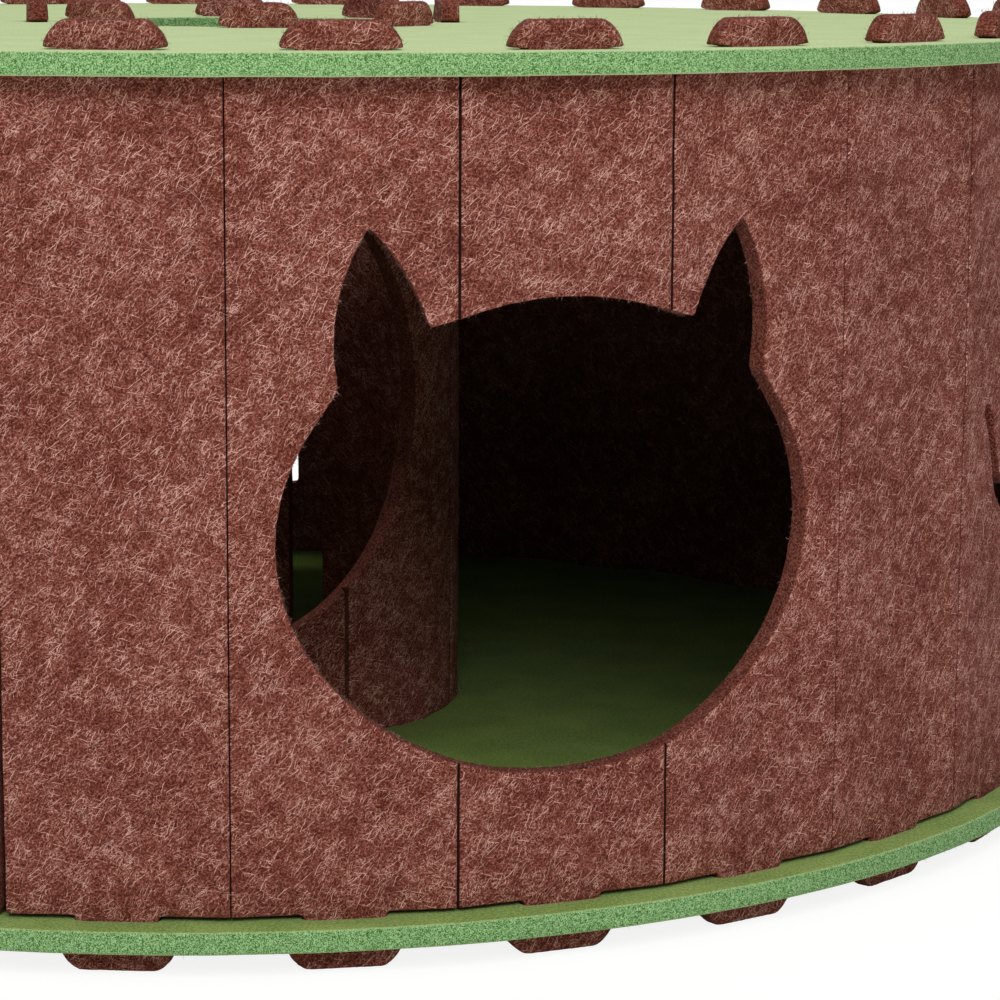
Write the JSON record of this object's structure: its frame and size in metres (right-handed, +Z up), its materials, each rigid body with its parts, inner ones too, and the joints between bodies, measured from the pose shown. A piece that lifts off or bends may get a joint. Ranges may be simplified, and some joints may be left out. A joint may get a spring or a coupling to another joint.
{
  "type": "cat house",
  "caption": "Round felt cat house: a folded wall and an inner ring tabbed between floor and roof discs, with a cat-head doorway and cat-shaped windows.",
  "frame": {"origin": "on the floor, under the middle of the house, at the underside of the lower tab heads", "axes": "+Z up, the cat-head doorway faces -Y, +X to the right when looking in at the doorway"},
  "size_m": [0.705, 0.705, 0.3156],
  "materials": {
    "felt_brown": "matt needle felt with pale fibres",
    "felt_green": "matt pressed felt, smooth on its faces and granular on its cut edges"
  },
  "bodies": {
    "root": {"base_panel": "felt_green", "top_panel": "felt_green", "wall_panel_front": "felt_brown", "wall_panel_right": "felt_brown", "wall_panel_rear": "felt_brown", "wall_panel_left": "felt_brown", "inner_ring": "felt_brown"}
  },
  "joints": []
}
